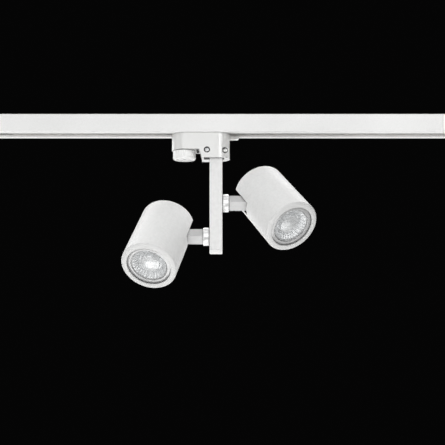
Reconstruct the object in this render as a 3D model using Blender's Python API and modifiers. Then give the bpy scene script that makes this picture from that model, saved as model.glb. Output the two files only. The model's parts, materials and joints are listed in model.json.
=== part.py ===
"""Twin-head track lighting fixture: a live rail, a plug-in adapter, a flat stem and two swivelling heads.

World axes: +X along the rail, -Y towards the room's viewer, +Z up. The origin is the centre of the rail's
top face, which is screwed to the ceiling. Lengths are metres and angles are degrees.
"""

import math

import bpy
import bmesh
from mathutils import Vector

COLLECTION = "track_lighting_fixture"
GAP = 0.0003
MERGE = 0.00001
STEPS = 40
THROUGH = 0.010  # how far a cutter runs past a wall that it goes right through
WIDE = 0.100  # a cutter larger than the adapter

# Rail
RAIL_LENGTH = 0.500
RAIL_WIDTH = 0.035
RAIL_HEIGHT = 0.018
RAIL_WALL = 0.0016
RAIL_SLOT = 0.0174
RAIL_CORNER = 0.001
FIXING_SPACING = 0.360
FIXING_HOLE_R = 0.00225

# Conductors
STRIP_DEPTH = 0.0036
STRIP_TOP = -0.0024
STRIP_BOTTOM = -0.0152
STRIP_FLOOR = 0.0010
CONDUCTOR_Z = -0.0100
CONDUCTOR_SIDE = 0.0020

# Live end feed and dead end cap
FEED_LENGTH = 0.058
FEED_WALL = 0.0018
FEED_PLUG_LENGTH = 0.030
CAP_THICKNESS = 0.0025
CAP_PLUG_LENGTH = 0.010
END_PLUG_BOTTOM = STRIP_BOTTOM + 0.0010
END_PLUG_HALF = RAIL_WIDTH / 2 - RAIL_WALL - STRIP_DEPTH - 3 * GAP
INLET_R = 0.0042
BUSH_NECK_R = INLET_R + 0.0010
BUSH_LIP_R = INLET_R + 0.0025
COVER_SCREW_INSET = 0.012
COVER_SCREW_Y = 0.009
TERMINAL_SPACING = 0.0075
TERMINAL_HOLE_R = 0.0016

# Adapter housing, measured from the stem's centre line
STEM_X = -0.0065
HOUSING_LENGTH = 0.0588
HOUSING_WIDTH = 0.030
HOUSING_CENTRE = -0.0154
HOUSING_TOP = -RAIL_HEIGHT - GAP
HOUSING_BOTTOM = -0.0343
BOX_BOTTOM = -0.0431
BOX_LEFT = -0.0163
BOX_SLANT = 0.0028
SHELL_WALL = 0.0018
SHELL_SCREWS = (-0.0090, 0.0090)
SHELL_SCREW_Z = -0.0354
SCREW_HEAD_R = 0.0025
SCREW_HEAD_HEIGHT = 0.0012
SCREW_R = 0.0013
SHELL_SCREW_LENGTH = 0.0165
SHELL_BORE_END = 0.0078
RECESS_R = 0.0030
RECESS_DEPTH = 0.0026
BOSS_R = 0.0038
MOUTH_LEFT = -0.0122
MOUTH_RIGHT = 0.0080

# Lock knob, rotor and contacts
KNOB_X = -0.0320
KNOB_R = 0.0115
KNOB_TOP = -0.0347
KNOB_BOTTOM = -0.0438
KNOB_CHAMFER = 0.0018
KNOB_RECESS_R = 0.0029
KNOB_RECESS_DEPTH = 0.0022
KNOB_BORE_R = 0.0018
KNOB_HOLE_R = 0.0052
ROTOR_NECK_R = 0.0062
ROTOR_FLANGE_R = 0.0090
ROTOR_SHAFT_R = 0.0049
ROTOR_STUB_R = 0.0016
ROTOR_STUB = 0.0080
WING_Z = -0.0156
WING_THICKNESS = 0.0020
WING_REACH = 0.0117
WING_WIDTH = 0.0090
CARRIER_TOP = -0.0050
CARRIER_HALF_X = 0.0042
CARRIER_HALF_Y = 0.0070
BLADE_THICKNESS = 0.0010
BLADE_WIDTH = 0.0040
BLADE_REACH = 0.0118

# Fixed earth insert and sprung release tab
INSERT_LEFT = -0.0122
INSERT_RIGHT = 0.0042
INSERT_HALF = 0.0080
INSERT_TOP = -0.0082
INSERT_BOTTOM = -0.0220
SPRING_WIDTH = 0.0060
SPRING_THICKNESS = 0.0005
TAB_FRONT = 0.0031
TAB_REAR = 0.0084
TAB_BOTTOM = -0.0219
TAB_TOP = -0.0118
TAB_FOOT = INSERT_RIGHT + 0.0008
TAB_STALK = 0.0028
TAB_END = 0.0237
TAB_SLANT = 0.0011
TAB_TRAVEL = 0.0015

# Stem: a flat rectangular tube
STEM_WIDTH = 0.0128
STEM_DEPTH = 0.0220
STEM_WALL = 0.0015
STEM_CORNER = 0.0010
STEM_TOP = -0.0240
STEM_END = -0.1352
STEM_BOTTOM = -0.1383
PLUG_INSERT = 0.0070
CROSS_PIN_Z = -0.0288
CROSS_PIN_R = 0.0020
CROSS_PIN_LENGTH = 0.020
WIRE_Y = 0.0078
WIRE_R = 0.0010

# Arms, the same for both heads
PIN_REACH = 0.0398
COLLAR_R = 0.0091
COLLAR_START = 0.0071
COLLAR_END = 0.0128
COLLAR_RECESS_R = 0.0080
COLLAR_EDGE = 0.0008
WASHER_R = 0.0077
WASHER_START = 0.00675
WASHER_END = 0.00755
ARM_SIDE = 0.0116
ARM_EDGE = 0.0009
AXLE_R = 0.0040
AXLE_BORE_R = 0.0026
AXLE_START = 0.0012
AXLE_END = 0.0220
SWIVEL_NUT = 0.0130
SWIVEL_NUT_THICKNESS = 0.0030
SWIVEL_NUT_X = 0.0030

# Heads, measured from the tilt pin: +Z to the rear end, the tube's axis at +X
HEAD_R = 0.0275
HEAD_WALL = 0.0012
HEAD_AXIS = 0.0144
HEAD_REAR = 0.0228
REAR_INNER = HEAD_REAR - 0.0020
HEAD_FRONT = -0.0513
SLOT_HALF = 0.0071
SLOT_END = -0.0060
PIN_R = 0.0025
OPENING_R = 0.0222
LENS_R = 0.0178
LAMP_R = 0.0248
LAMP_PIN_Y = 0.0050
ARM_CLEARANCE = 0.0062
BRACKET_PLATE = 0.0009
BRACKET_LOW = -0.0050
BRACKET_EDGE = -0.0045
BRACKET_FOOT_HALF = 0.0050
FOOT_THICKNESS = 0.0014
REAR_SCREW_X = 0.0110
REAR_SCREW_HOLE_R = 0.0017
RING_SLEEVE_R = 0.0253
HOLDER_HALF = 0.0130
HOLDER_LOW = -0.0062
HOLDER_HIGH = 0.0090
HOLDER_PLATE = 0.0012
TILT_HEAD_R = 0.0038
TILT_NUT = 0.0080
TILT_NUT_THICKNESS = 0.0024

# Pose of the two heads: side, height of the arm, roll of the arm about +X, tilt of the head on its pin
HEADS = {
    "left": {"side": -1, "z": -0.1214, "roll": 47.4, "tilt": 12.1},
    "right": {"side": 1, "z": -0.08765, "roll": 48.9, "tilt": 24.1},
}

WHITE_PAINT = ("white_paint", (0.86, 0.86, 0.85), 0.45, 0.0)
WHITE_PLASTIC = ("white_plastic", (0.88, 0.88, 0.87), 0.35, 0.0)
GREY_PLASTIC = ("grey_plastic", (0.55, 0.56, 0.57), 0.45, 0.0)
COPPER = ("copper", (0.78, 0.45, 0.28), 0.30, 1.0)
BRASS = ("brass", (0.80, 0.66, 0.36), 0.30, 1.0)
STEEL = ("steel", (0.62, 0.62, 0.63), 0.32, 1.0)
CERAMIC = ("ceramic", (0.90, 0.88, 0.84), 0.55, 0.0)
LENS = ("clear_lens", (0.93, 0.94, 0.95), 0.06, 0.0)
LAMP_SILVER = ("lamp_silver", (0.72, 0.73, 0.74), 0.22, 1.0)
WIRE = ("wire_sheath", (0.80, 0.80, 0.78), 0.50, 0.0)


def clear_scene():
    for obj in list(bpy.data.objects):
        bpy.data.objects.remove(obj, do_unlink=True)


def collection(name):
    group = bpy.data.collections.new(name)
    bpy.context.scene.collection.children.link(group)
    return group


def material(spec):
    name, colour, roughness, metallic = spec
    found = bpy.data.materials.get(name)
    if found:
        return found
    made = bpy.data.materials.new(name)
    made.use_nodes = True
    shader = made.node_tree.nodes["Principled BSDF"]
    shader.inputs["Base Color"].default_value = (*colour, 1.0)
    shader.inputs["Roughness"].default_value = roughness
    shader.inputs["Metallic"].default_value = metallic
    made.diffuse_color = (*colour, 1.0)
    return made


def empty(name, parent=None, location=(0, 0, 0), rotation=(0, 0, 0)):
    obj = bpy.data.objects.new(name, None)
    PARTS.objects.link(obj)
    obj.parent = parent
    obj.location = location
    obj.rotation_euler = [math.radians(a) for a in rotation]
    obj.empty_display_size = 0.01
    return obj


def place(obj, spec=None, parent=None, location=(0, 0, 0), rotation=(0, 0, 0)):
    """A part when it has a material, a hidden cutter when it has none."""
    (PARTS if spec else CUTTERS).objects.link(obj)
    obj.parent = parent
    obj.location = location
    obj.rotation_euler = [math.radians(a) for a in rotation]
    if spec:
        obj.data.materials.append(material(spec))
    else:
        obj.hide_render = True
        obj.display_type = "WIRE"
    return obj


def box(name, size, **where):
    mesh = bpy.data.meshes.new(name)
    bm = bmesh.new()
    bmesh.ops.create_cube(bm, size=1.0)
    bmesh.ops.scale(bm, vec=Vector(size), verts=bm.verts)
    bm.to_mesh(mesh)
    bm.free()
    return place(bpy.data.objects.new(name, mesh), **where)


def span_box(name, low, high, **where):
    """A box from its lowest to its highest corner, in its parent's axes."""
    size = [b - a for a, b in zip(low, high)]
    centre = [(a + b) / 2 for a, b in zip(low, high)]
    return box(name, size, location=centre, **where)


def cylinder(name, radius, length, sides=24, **where):
    mesh = bpy.data.meshes.new(name)
    bm = bmesh.new()
    bmesh.ops.create_cone(bm, cap_ends=True, segments=sides, radius1=radius, radius2=radius, depth=length)
    bm.to_mesh(mesh)
    bm.free()
    smooth(mesh)
    return place(bpy.data.objects.new(name, mesh), **where)


def smooth(mesh, angle=35):
    mesh.shade_smooth()
    mesh.set_sharp_from_angle(angle=math.radians(angle))


def turned(name, profile, closed=False, steps=STEPS, **where):
    """A profile of (radius, z) points turned about Z. Its outer side runs from the top down."""
    mesh = bpy.data.meshes.new(name)
    edges = [(i, i + 1) for i in range(len(profile) - 1)]
    if closed:
        edges.append((len(profile) - 1, 0))
    mesh.from_pydata([(r, 0, z) for r, z in profile], edges, [])
    obj = place(bpy.data.objects.new(name, mesh), **where)
    screw = obj.modifiers.new("turn", "SCREW")
    screw.axis = "Z"
    screw.steps = steps
    screw.render_steps = steps
    screw.use_merge_vertices = True
    screw.merge_threshold = MERGE
    screw.use_smooth_shade = True
    return obj


def arc(cx, cy, radius, start, end, count):
    """Points of an arc in degrees, both ends included."""
    angles = [math.radians(start + (end - start) * i / count) for i in range(count + 1)]
    return [(cx + radius * math.cos(a), cy + radius * math.sin(a)) for a in angles]


def rounded_rectangle(width, height, radius, count=3):
    x, y = width / 2 - radius, height / 2 - radius
    corners = ((x, y, 0), (-x, y, 90), (-x, -y, 180), (x, -y, 270))
    return [p for cx, cy, a in corners for p in arc(cx, cy, radius, a, a + 90, count)]


def stadium(length, width, count=14):
    """A slot shape along X with fully round ends."""
    half, radius = (length - width) / 2, width / 2
    return arc(half, 0, radius, -90, 90, count) + arc(-half, 0, radius, 90, 270, count)


def prism(name, outline, thickness, **where):
    """A flat outline with its thickness centred on the local XY plane, as a welded mesh."""
    curve = bpy.data.curves.new(name + "_outline", "CURVE")
    curve.dimensions = "2D"
    curve.fill_mode = "BOTH"
    curve.extrude = thickness / 2
    spline = curve.splines.new("POLY")
    spline.points.add(len(outline) - 1)
    for point, (x, y) in zip(spline.points, outline):
        point.co = (x, y, 0, 1)
    spline.use_cyclic_u = True
    guide = bpy.data.objects.new(name + "_guide", curve)
    bpy.context.scene.collection.objects.link(guide)
    graph = bpy.context.evaluated_depsgraph_get()
    mesh = bpy.data.meshes.new_from_object(guide.evaluated_get(graph))
    mesh.name = name
    bpy.data.objects.remove(guide, do_unlink=True)
    bm = bmesh.new()
    bm.from_mesh(mesh)
    bmesh.ops.remove_doubles(bm, verts=bm.verts, dist=MERGE)
    bmesh.ops.recalc_face_normals(bm, faces=bm.faces)
    bm.to_mesh(mesh)
    bm.free()
    mesh.materials.clear()
    smooth(mesh)
    return place(bpy.data.objects.new(name, mesh), **where)


def tube(name, route, radius, **where):
    """A round wire along a list of points."""
    curve = bpy.data.curves.new(name, "CURVE")
    curve.dimensions = "3D"
    curve.bevel_depth = radius
    curve.bevel_resolution = 2
    curve.use_fill_caps = True
    spline = curve.splines.new("POLY")
    spline.points.add(len(route) - 1)
    for point, co in zip(spline.points, route):
        point.co = (*co, 1)
    return place(bpy.data.objects.new(name, curve), **where)


def combine(target, operation, *others):
    for other in others:
        boolean = target.modifiers.new(other.name, "BOOLEAN")
        boolean.operation = operation
        boolean.solver = "EXACT"
        boolean.object = other
    return target


def cut(target, *cutters):
    return combine(target, "DIFFERENCE", *cutters)


def join(target, *others):
    return combine(target, "UNION", *others)


def bevel(obj, width, segments=2, angle=40):
    rounding = obj.modifiers.new("rounding", "BEVEL")
    rounding.width = width
    rounding.segments = segments
    rounding.limit_method = "ANGLE"
    rounding.angle_limit = math.radians(angle)
    return obj


ALONG_X = (90, 0, 90)
FACING_Y = (90, 0, 0)


def rail_outline(width, height):
    """The rail's C section with its slot below. X is across the rail and Y is height."""
    w, h, r = width / 2, height, RAIL_CORNER
    outer = arc(w - r, -r, r, 90, 0, 2) + arc(w - r, -h + r, r, 0, -90, 2)
    inner = [
        (RAIL_SLOT / 2, -h),
        (RAIL_SLOT / 2, -h + RAIL_WALL),
        (w - RAIL_WALL, -h + RAIL_WALL),
        (w - RAIL_WALL, -RAIL_WALL),
    ]
    right = outer + inner
    return right + [(-x, y) for x, y in reversed(right)]


def strip_outline():
    """A plastic strip with a groove for its conductor, open towards the middle of the rail."""
    back = RAIL_WIDTH / 2 - RAIL_WALL - GAP
    front = back - STRIP_DEPTH
    groove = CONDUCTOR_SIDE / 2 + GAP
    floor = back - STRIP_FLOOR
    return [
        (back, STRIP_TOP),
        (front, STRIP_TOP),
        (front, CONDUCTOR_Z + groove),
        (floor, CONDUCTOR_Z + groove),
        (floor, CONDUCTOR_Z - groove),
        (front, CONDUCTOR_Z - groove),
        (front, STRIP_BOTTOM),
        (back, STRIP_BOTTOM),
    ]


def build_rail(root):
    rail = prism(
        "rail_extrusion", rail_outline(RAIL_WIDTH, RAIL_HEIGHT), RAIL_LENGTH,
        spec=WHITE_PAINT, parent=root, rotation=ALONG_X,
    )
    for x in (-FIXING_SPACING / 2, FIXING_SPACING / 2):
        cut(rail, cylinder(f"fixing_hole_{x:+.2f}", FIXING_HOLE_R, THROUGH, parent=root, location=(x, 0, 0)))

    back = RAIL_WIDTH / 2 - RAIL_WALL - GAP
    conductor_y = back - STRIP_FLOOR - GAP - CONDUCTOR_SIDE / 2
    for name, side in (("front", -1), ("rear", 1)):
        outline = [(side * y, z) for y, z in strip_outline()]
        prism(
            f"{name}_insulator_strip", outline, RAIL_LENGTH, spec=WHITE_PLASTIC, parent=root,
            rotation=ALONG_X,
        )
        box(
            f"{name}_copper_conductor", (RAIL_LENGTH, CONDUCTOR_SIDE, CONDUCTOR_SIDE),
            spec=COPPER, parent=root, location=(0, side * conductor_y, CONDUCTOR_Z),
        )


def solid_section(name, length, x, root, spec=None):
    """A full block of the rail's outer section, centred on x."""
    section = rounded_rectangle(RAIL_WIDTH, RAIL_HEIGHT, RAIL_CORNER, 2)
    outline = [(y, z - RAIL_HEIGHT / 2) for y, z in section]
    return prism(name, outline, length, spec=spec, parent=root, location=(x, 0, 0), rotation=ALONG_X)


def build_end_cap(root):
    start = RAIL_LENGTH / 2 + GAP
    cap = solid_section("dead_end_cap", CAP_THICKNESS, start + CAP_THICKNESS / 2, root, WHITE_PLASTIC)
    plug = span_box(
        "cap_plug", (start - CAP_PLUG_LENGTH, -END_PLUG_HALF, END_PLUG_BOTTOM),
        (start + CAP_THICKNESS / 2, END_PLUG_HALF, -RAIL_WALL - GAP), parent=root,
    )
    join(cap, plug)


def build_end_feed(root):
    end = -RAIL_LENGTH / 2 - GAP
    far = end - FEED_LENGTH
    inner = RAIL_WIDTH / 2 - FEED_WALL
    housing = solid_section("end_feed_housing", FEED_LENGTH, (end + far) / 2, root, WHITE_PLASTIC)
    hollow = span_box(
        "feed_hollow", (far + FEED_WALL, -inner, -RAIL_HEIGHT - THROUGH),
        (end - FEED_WALL, inner, -FEED_WALL), parent=root,
    )
    inlet = cylinder(
        "feed_inlet_hole", BUSH_NECK_R + GAP, THROUGH, parent=root, location=(far, 0, -RAIL_HEIGHT / 2),
        rotation=(0, 90, 0),
    )
    plug = span_box(
        "feed_plug", (end - FEED_WALL / 2, -END_PLUG_HALF, END_PLUG_BOTTOM),
        (end + FEED_PLUG_LENGTH, END_PLUG_HALF, -RAIL_WALL - GAP), parent=root,
    )
    cut(housing, hollow, inlet)
    join(housing, plug)
    build_feed_cover(root, far, end)

    turned(
        "cable_inlet_bush",
        [(INLET_R, 0.0040), (BUSH_NECK_R, 0.0040), (BUSH_NECK_R, -GAP), (BUSH_LIP_R, -GAP),
         (BUSH_LIP_R, -0.0020), (INLET_R, -0.0020)],
        closed=True, steps=24, spec=GREY_PLASTIC, parent=root, location=(far, 0, -RAIL_HEIGHT / 2),
        rotation=(0, 90, 0),
    )
    block = span_box(
        "feed_terminal_block", (end - 0.026, -0.0125, -0.0125), (end - 0.010, 0.0125, -FEED_WALL - GAP),
        spec=GREY_PLASTIC, parent=root,
    )
    for pole in (-1, 0, 1):
        cut(block, cylinder(
            f"terminal_hole_{pole}", TERMINAL_HOLE_R, 0.03, sides=12, parent=root,
            location=(end - 0.018, pole * TERMINAL_SPACING, -0.0085), rotation=(0, 90, 0),
        ))


def build_feed_cover(root, far, end):
    """The plate under the end feed and the screw that holds it, whose head is proud of the plate."""
    half = RAIL_WIDTH / 2 - FEED_WALL - GAP
    screw_x = far + COVER_SCREW_INSET
    cover = span_box(
        "end_feed_cover", (far + FEED_WALL + GAP, -half, -RAIL_HEIGHT),
        (end - FEED_WALL - GAP, half, -RAIL_HEIGHT + FEED_WALL), spec=WHITE_PLASTIC, parent=root,
    )
    cut(cover, cylinder(
        "cover_screw_hole", 0.0019, THROUGH, parent=root, location=(screw_x, COVER_SCREW_Y, -RAIL_HEIGHT),
    ))
    turned(
        "end_feed_cover_screw",
        [(0, 0.0080), (0.0015, 0.0080), (0.0015, -GAP), (0.0030, -GAP), (0.0026, -0.0013), (0, -0.0013)],
        steps=16, spec=STEEL, parent=root, location=(screw_x, COVER_SCREW_Y, -RAIL_HEIGHT),
    )


def housing_side_outline(inset):
    """The housing seen from the front: a shallow body with a deeper box at its right end."""
    left = HOUSING_CENTRE - HOUSING_LENGTH / 2 + inset
    right = HOUSING_CENTRE + HOUSING_LENGTH / 2 - inset
    top, step, bottom = HOUSING_TOP - inset, HOUSING_BOTTOM + inset, BOX_BOTTOM + inset
    edge = BOX_LEFT + inset
    return [
        (left, top), (left, step), (edge - 0.0008, step), (edge, step - 0.0006),
        (edge + BOX_SLANT, bottom), (right, bottom), (right, top),
    ]


def housing_depth(x):
    """How far the housing's rounded plan reaches from its parting plane at x."""
    radius = HOUSING_WIDTH / 2
    beyond = max(0.0, abs(x - HOUSING_CENTRE) - (HOUSING_LENGTH / 2 - radius))
    return math.sqrt(radius ** 2 - beyond ** 2)


def build_shell(name, side, adapter):
    """One half of the housing, split along the plane through the rail's centre line."""
    plan = stadium(HOUSING_LENGTH, HOUSING_WIDTH)
    inner_plan = stadium(HOUSING_LENGTH - 2 * SHELL_WALL, HOUSING_WIDTH - 2 * SHELL_WALL)
    where = {"parent": adapter, "location": (HOUSING_CENTRE, 0, HOUSING_BOTTOM)}
    cavity = prism(
        f"{name}_cavity", housing_side_outline(SHELL_WALL), 0.05, parent=adapter, rotation=FACING_Y,
    )
    combine(cavity, "INTERSECT", prism(f"{name}_inner_plan", inner_plan, 0.08, **where))
    shell = prism(name, housing_side_outline(0), 0.05, spec=WHITE_PLASTIC, parent=adapter, rotation=FACING_Y)
    combine(shell, "INTERSECT", prism(f"{name}_plan", plan, 0.08, **where))
    cut(shell, cavity)

    for i, x in enumerate(SHELL_SCREWS):
        surface = housing_depth(x)
        reach = surface - SHELL_WALL / 2
        boss = cylinder(
            f"{name}_boss_{i}", BOSS_R, reach, sides=16, parent=adapter,
            location=(x, side * reach / 2, SHELL_SCREW_Z), rotation=FACING_Y,
        )
        join(shell, boss)
        recess = cylinder(
            f"{name}_recess_{i}", RECESS_R, 2 * RECESS_DEPTH, parent=adapter,
            location=(x, -surface, SHELL_SCREW_Z), rotation=FACING_Y,
        )
        bore = cylinder(
            f"{name}_screw_hole_{i}", SCREW_R + GAP, surface + SHELL_BORE_END, sides=16, parent=adapter,
            location=(x, (SHELL_BORE_END - surface) / 2, SHELL_SCREW_Z), rotation=FACING_Y,
        )
        cut(shell, recess, bore)

    stem_x, stem_y = STEM_WIDTH / 2 + GAP, STEM_DEPTH / 2 + GAP
    low = BOX_BOTTOM - THROUGH
    cut(
        shell,
        span_box(
            f"{name}_stem_passage", (-stem_x, -stem_y, low), (stem_x, stem_y, STEM_TOP + GAP), parent=adapter,
        ),
        cylinder(
            f"{name}_neck_hole", ROTOR_NECK_R + 0.0005, THROUGH, parent=adapter,
            location=(KNOB_X, 0, HOUSING_TOP),
        ),
        cylinder(
            f"{name}_knob_hole", KNOB_HOLE_R, THROUGH, parent=adapter, location=(KNOB_X, 0, HOUSING_BOTTOM),
        ),
        span_box(
            f"{name}_insert_seat", (INSERT_LEFT - GAP, -INSERT_HALF - GAP, HOUSING_TOP - 0.003),
            (INSERT_RIGHT + GAP, INSERT_HALF + GAP, HOUSING_TOP + 0.003), parent=adapter,
        ),
    )
    if side < 0:
        cut(shell, span_box(
            f"{name}_mouth", (MOUTH_LEFT, -HOUSING_WIDTH / 2 + 0.0012, low),
            (MOUTH_RIGHT, 0.002, BOX_BOTTOM + 0.003), parent=adapter,
        ))
    else:
        cut(shell, span_box(
            f"{name}_tab_window", (INSERT_RIGHT, TAB_FRONT - 0.0004, TAB_BOTTOM - TAB_TRAVEL - 0.0006),
            (0.0200, TAB_REAR + 0.0004, HOUSING_TOP + 0.003), parent=adapter,
        ))
    return cut(shell, span_box(
        f"{name}_other_half", (-WIDE, -GAP / 2 if side < 0 else -WIDE, -WIDE),
        (WIDE, WIDE if side < 0 else GAP / 2, WIDE), parent=adapter,
    ))


def screw_profile(head_r, shank_r, length):
    """A pan-head screw standing on its seat at z = 0, head up."""
    top = SCREW_HEAD_HEIGHT
    return [
        (0, top), (head_r * 0.8, top), (head_r, top / 2), (head_r, 0), (shank_r, 0), (shank_r, -length),
        (0, -length),
    ]


def hexagon(across_flats):
    corner = across_flats / math.sqrt(3)
    angles = [math.radians(60 * i) for i in range(6)]
    return [(corner * math.cos(a), corner * math.sin(a)) for a in angles]


def build_adapter(adapter, knob_axis, tab):
    build_shell("front_housing_shell", -1, adapter)
    build_shell("rear_housing_shell", 1, adapter)
    for name, x in zip(("left", "right"), SHELL_SCREWS):
        turned(
            f"{name}_shell_screw", screw_profile(SCREW_HEAD_R, SCREW_R, SHELL_SCREW_LENGTH), steps=16,
            spec=STEEL, parent=adapter, location=(x, RECESS_DEPTH - GAP - housing_depth(x), SHELL_SCREW_Z),
            rotation=FACING_Y,
        )
    build_lock(knob_axis)
    build_insert(adapter)
    build_release_tab(tab)


def build_lock(knob_axis):
    """The knob and everything that turns with it: rotor, wing, contact carrier and the two blades."""
    recess = KNOB_BOTTOM + KNOB_RECESS_DEPTH
    turned(
        "lock_knob",
        [(KNOB_BORE_R, KNOB_TOP), (KNOB_R - 0.0004, KNOB_TOP), (KNOB_R, KNOB_TOP - 0.0004),
         (KNOB_R, KNOB_BOTTOM + KNOB_CHAMFER), (KNOB_R - 0.0022, KNOB_BOTTOM), (KNOB_RECESS_R, KNOB_BOTTOM),
         (KNOB_RECESS_R, recess), (KNOB_BORE_R, recess)],
        closed=True, spec=WHITE_PLASTIC, parent=knob_axis,
    )
    turned(
        "knob_screw", screw_profile(0.0024, 0.0013, 0.0120), steps=16, spec=STEEL, parent=knob_axis,
        location=(0, 0, recess - GAP), rotation=(180, 0, 0),
    )
    stub = KNOB_TOP + GAP
    roof, floor = HOUSING_TOP - SHELL_WALL - GAP, HOUSING_BOTTOM + SHELL_WALL + GAP
    turned(
        "contact_rotor",
        [(0, WING_Z - GAP), (ROTOR_NECK_R, WING_Z - GAP), (ROTOR_NECK_R, roof), (ROTOR_FLANGE_R, roof),
         (ROTOR_FLANGE_R, floor), (ROTOR_SHAFT_R, floor), (ROTOR_SHAFT_R, stub), (ROTOR_STUB_R, stub),
         (ROTOR_STUB_R, stub + ROTOR_STUB), (0, stub + ROTOR_STUB)],
        steps=24, spec=GREY_PLASTIC, parent=knob_axis,
    )
    prism(
        "lock_wing", stadium(2 * WING_REACH, WING_WIDTH, 8), WING_THICKNESS, spec=GREY_PLASTIC,
        parent=knob_axis, location=(0, 0, WING_Z + WING_THICKNESS / 2), rotation=(0, 0, 90),
    )
    span_box(
        "contact_carrier", (-CARRIER_HALF_X, -CARRIER_HALF_Y, WING_Z + WING_THICKNESS + GAP),
        (CARRIER_HALF_X, CARRIER_HALF_Y, CARRIER_TOP), spec=GREY_PLASTIC, parent=knob_axis,
    )
    blade_start = CARRIER_HALF_Y + GAP
    for name, side in (("front", -1), ("rear", 1)):
        box(
            f"{name}_contact_blade", (BLADE_WIDTH, BLADE_REACH - blade_start, BLADE_THICKNESS), spec=COPPER,
            parent=knob_axis, location=(0, side * (BLADE_REACH + blade_start) / 2, CONDUCTOR_Z),
        )


def build_insert(adapter):
    """The fixed foot that enters the rail beside the rotor, with its sprung contact on top."""
    insert = span_box(
        "earth_insert", (INSERT_LEFT, -INSERT_HALF, INSERT_BOTTOM), (INSERT_RIGHT, INSERT_HALF, INSERT_TOP),
        spec=GREY_PLASTIC, parent=adapter,
    )
    bevel(insert, 0.0008, 1)
    x, z = (INSERT_LEFT + INSERT_RIGHT) / 2, INSERT_TOP + GAP
    radius = -RAIL_WALL - GAP - z
    prism(
        "earth_contact_spring",
        arc(x, z, radius, 0, 180, 10) + arc(x, z, radius - SPRING_THICKNESS, 180, 0, 10),
        SPRING_WIDTH, spec=BRASS, parent=adapter, rotation=FACING_Y,
    )


def build_release_tab(tab):
    top, stalk = HOUSING_TOP - GAP, TAB_FOOT + TAB_STALK
    outline = [
        (TAB_FOOT, TAB_BOTTOM), (TAB_END - TAB_SLANT, TAB_BOTTOM), (TAB_END, top), (stalk, top),
        (stalk, TAB_TOP - 0.0007), (stalk - 0.0008, TAB_TOP), (TAB_FOOT, TAB_TOP),
    ]
    prism(
        "release_tab", outline, TAB_REAR - TAB_FRONT, spec=WHITE_PLASTIC, parent=tab,
        location=(0, (TAB_FRONT + TAB_REAR) / 2, 0), rotation=FACING_Y,
    )


def build_stem(adapter):
    length = STEM_TOP - STEM_END
    middle = (0, 0, (STEM_TOP + STEM_END) / 2)
    section = rounded_rectangle(STEM_WIDTH, STEM_DEPTH, STEM_CORNER, 2)
    stem = prism("stem_tube", section, length, spec=WHITE_PAINT, parent=adapter, location=middle)
    inner_x, inner_y = STEM_WIDTH - 2 * STEM_WALL, STEM_DEPTH - 2 * STEM_WALL
    across = {"parent": adapter, "rotation": (0, 90, 0)}
    cut(
        stem,
        box("stem_hollow", (inner_x, inner_y, length + THROUGH), parent=adapter, location=middle),
        cylinder(
            "cross_pin_hole", CROSS_PIN_R + GAP, 2 * STEM_WIDTH, sides=16, location=(0, 0, CROSS_PIN_Z),
            **across,
        ),
    )
    for name, pose in HEADS.items():
        cut(stem, cylinder(
            f"{name}_axle_hole", AXLE_R + GAP, 4 * STEM_WALL, sides=20,
            location=(pose["side"] * STEM_WIDTH / 2, 0, pose["z"]), **across,
        ))
    cylinder(
        "stem_cross_pin", CROSS_PIN_R, CROSS_PIN_LENGTH, sides=16, spec=STEEL, location=(0, 0, CROSS_PIN_Z),
        **across,
    )
    head_height = STEM_END - GAP - STEM_BOTTOM
    plug = prism(
        "stem_end_plug", section, head_height, spec=WHITE_PLASTIC, parent=adapter,
        location=(0, 0, STEM_BOTTOM + head_height / 2),
    )
    join(plug, box(
        "plug_insert", (inner_x - 2 * GAP, inner_y - 2 * GAP, PLUG_INSERT), parent=adapter,
        location=(0, 0, STEM_END + PLUG_INSERT / 2 - 0.0013),
    ))
    route = [(0, WIRE_Y, z) for z in (STEM_TOP - 0.002, (STEM_TOP + STEM_END) / 2, STEM_END + 0.017)]
    tube("stem_wire", route, WIRE_R, spec=WIRE, parent=adapter)


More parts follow.
